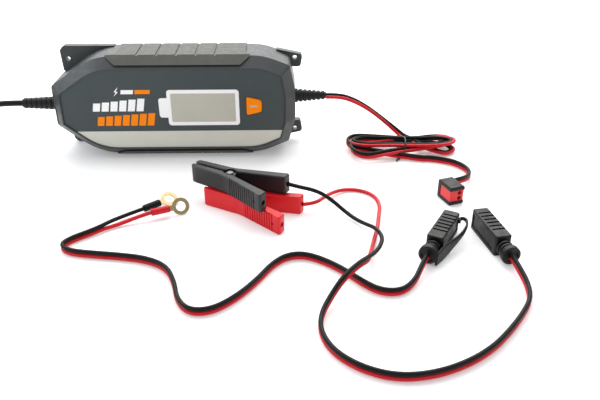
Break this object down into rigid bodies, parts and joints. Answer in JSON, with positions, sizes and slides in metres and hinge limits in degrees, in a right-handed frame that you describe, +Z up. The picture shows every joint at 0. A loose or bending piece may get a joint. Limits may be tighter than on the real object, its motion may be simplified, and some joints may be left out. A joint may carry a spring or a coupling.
{
  "type": "car battery charger",
  "caption": "Sealed twelve-volt car battery charger with display and mode button, mains lead with plug, and accessory leads with spring clamps and ring lugs.",
  "frame": {"origin": "on the surface that it stands on, under the middle of the housing", "axes": "+X along the housing from the mains lead to the output lead, +Y from the front panel to the mounting face, +Z up"},
  "size_m": [0.5831, 0.4638, 0.1],
  "materials": {
    "housing_plastic": "satin moulded",
    "grip_plastic": "satin moulded",
    "seal_rubber": "matt",
    "panel_slate": "fine textured overlay",
    "panel_silver": "metallic print",
    "display_white": "glossy print",
    "display_glass": "clear",
    "lcd_grey": "display",
    "board_green": "solder mask",
    "black_plastic": "moulded",
    "button_orange": "soft gloss",
    "ferrite": "sintered",
    "copper": "enamelled wire",
    "aluminium": "extruded",
    "steel": "zinc plated",
    "black_rubber": "matt",
    "black_cable": "smooth sheath",
    "red_cable": "smooth sheath",
    "connector_black": "moulded",
    "connector_red": "moulded",
    "clamp_black": "moulded",
    "clamp_red": "moulded",
    "copper_plate": "copper plated",
    "brass": "bare"
  },
  "bodies": {
    "charger": {"rear_shell": "housing_plastic", "front_shell": "housing_plastic", "shell_seal": "seal_rubber", "front_panel": "panel_slate", "panel_stripe": "panel_silver", "display_frame": "display_white", "display_window": "display_glass", "lcd_module": "lcd_grey", "display_board": "board_green", "lcd_supports": "black_plastic", "switch_body": "black_plastic", "main_board": "board_green", "transformer_core": "ferrite", "transformer_winding": "copper", "capacitors": "black_plastic", "heat_sink": "aluminium", "power_transistors": "black_plastic", "choke": "ferrite", "mains_fuse": "display_glass", "rectifier": "black_plastic", "housing_screws": "steel", "mains_strain_relief": "black_rubber", "output_strain_relief": "black_rubber", "upper_grip": "grip_plastic", "lower_grip": "grip_plastic", "mains_lead": "black_cable", "mains_coil": "black_cable", "mains_plug": "black_plastic", "plug_pins": "brass", "coil_tie": "black_rubber", "output_lead": "red_cable", "output_hank": "red_cable", "hank_tie": "black_rubber", "output_tail": "red_cable", "output_connector_shell": "connector_black", "output_connector_core": "connector_red", "connector_contacts": "brass", "clamp_lead_connector": "connector_black", "clamp_lead_cord": "red_cable", "clamp_lead_black_core": "black_cable", "clamp_lead_red_core": "red_cable", "black_clamp_back_arm": "clamp_black", "red_clamp_back_arm": "clamp_red", "clamp_back_jaws": "copper_plate", "clamp_pins": "steel", "clamp_springs": "steel", "ring_lead_connector": "connector_black", "connector_stopper": "black_rubber", "ring_lead_cord": "red_cable", "ring_lead_black_core": "black_cable", "ring_lead_red_core": "red_cable", "black_lug_sleeve": "black_cable", "red_lug_sleeve": "red_cable", "ring_lugs": "brass"},
    "mode_button": {"mode_button": "button_orange"},
    "switch_plunger": {"switch_plunger": "black_plastic"},
    "black_clamp_arm": {"black_clamp_front_arm": "clamp_black", "black_clamp_front_jaw": "copper_plate"},
    "red_clamp_arm": {"red_clamp_front_arm": "clamp_red", "red_clamp_front_jaw": "copper_plate"}
  },
  "joints": [
    {"name": "mode_button_press", "type": "slide", "parent": "charger", "child": "mode_button", "axis": [0, 1, 0], "range_m": [0, 0.0006], "stiffness_N_per_m": 900, "springref_m": -0.0008},
    {"name": "switch_plunger_press", "type": "slide", "parent": "charger", "child": "switch_plunger", "axis": [0, 1, 0], "range_m": [0, 0.0006]},
    {"name": "black_clamp_open", "type": "hinge", "parent": "charger", "child": "black_clamp_arm", "pos_m": [0.058, -0.117, 0.0244], "axis": [0, 0, 1], "range_deg": [0, 25], "stiffness_Nm_per_rad": 0.9, "springref_deg": -14.32},
    {"name": "red_clamp_open", "type": "hinge", "parent": "charger", "child": "red_clamp_arm", "pos_m": [0.0695, -0.126, 0.008], "axis": [0, 0, 1], "range_deg": [0, 25], "stiffness_Nm_per_rad": 0.9, "springref_deg": -14.32}
  ],
  "couplings": [
    {"joint": "switch_plunger_press", "follows": "mode_button_press", "ratio": 1}
  ]
}
